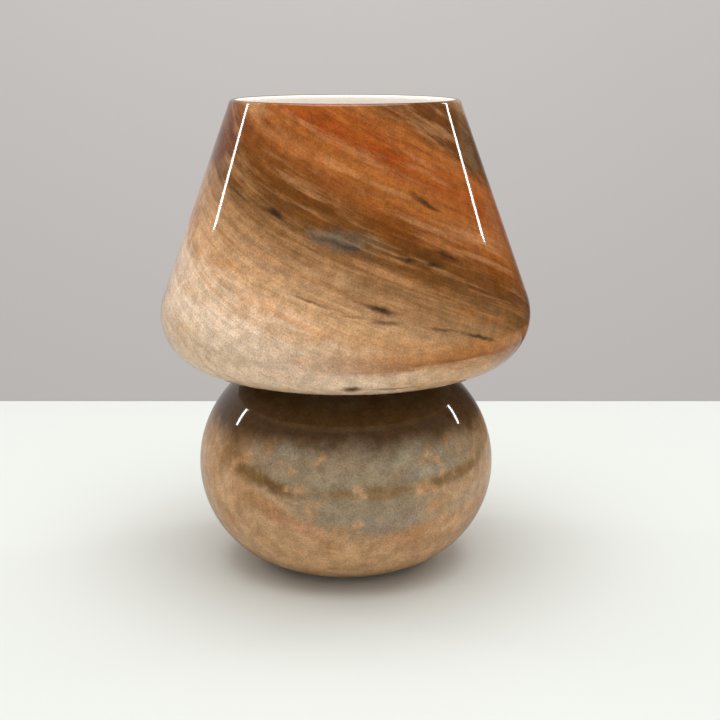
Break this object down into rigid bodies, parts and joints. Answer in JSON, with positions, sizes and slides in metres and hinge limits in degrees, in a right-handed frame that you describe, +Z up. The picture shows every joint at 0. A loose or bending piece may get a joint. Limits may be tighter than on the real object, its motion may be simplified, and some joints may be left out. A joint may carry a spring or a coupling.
{
  "type": "mushroom table lamp",
  "caption": "Small mushroom table lamp: one-piece cased glass shade, neck and base, with a clamped lampholder and a screw-in bulb.",
  "frame": {"origin": "on the table under the lamp's axis, at the underside of the foot pads", "axes": "+Z up along the axis of the glass, -Y towards the front, +Y towards the cord hole at the back"},
  "size_m": [0.19, 0.1899, 0.24],
  "materials": {
    "cased_glass": "fire-polished gloss",
    "clear_silicone": "satin",
    "white_rubber": "satin",
    "white_silicone": "satin",
    "white_enamel": "satin",
    "zinc_plate": "zinc plated",
    "brass": "turned",
    "white_moulding": "moulded satin",
    "ceramic_block": "unglazed",
    "nickel_shell": "nickelled",
    "black_vitrite": "glossy",
    "opal_diffuser": "satin opal",
    "board_white": "white solder mask",
    "led_phosphor": "gloss",
    "driver_green": "solder mask"
  },
  "bodies": {
    "lamp": {"glass_body": "cased_glass", "foot_pads": "clear_silicone", "cord_grommet": "white_rubber", "throat_gasket": "white_silicone", "throat_plate": "white_enamel", "cross_bar": "zinc_plate", "bar_tips": "white_rubber", "threaded_tube": "brass", "plate_washer": "zinc_plate", "plate_nut": "brass", "tooth_washer": "zinc_plate", "bar_nut": "brass", "holder_cap": "white_moulding", "holder_insert": "zinc_plate", "lock_screw": "zinc_plate", "terminal_block": "ceramic_block", "terminal_screws": "brass", "centre_contact": "brass", "side_contact": "brass", "holder_skirt": "white_moulding"},
    "bulb_lift": {"bulb_button": "brass"},
    "bulb": {"bulb_insulator": "black_vitrite", "bulb_shell": "nickel_shell", "bulb_collar": "white_moulding", "bulb_globe": "opal_diffuser", "led_board": "board_white", "led_chips": "led_phosphor", "led_driver": "driver_green"}
  },
  "joints": [
    {"name": "bulb_rise", "type": "slide", "parent": "lamp", "child": "bulb_lift", "axis": [0, 0, 1], "range_m": [0, 0.0114]},
    {"name": "bulb_turn", "type": "hinge", "parent": "bulb_lift", "child": "bulb", "pos_m": [0, 0, 0.15], "axis": [0, 0, 1], "range_deg": [0, 1440]}
  ],
  "couplings": [
    {"joint": "bulb_rise", "follows": "bulb_turn", "m_per_rad": 0.00044882}
  ]
}
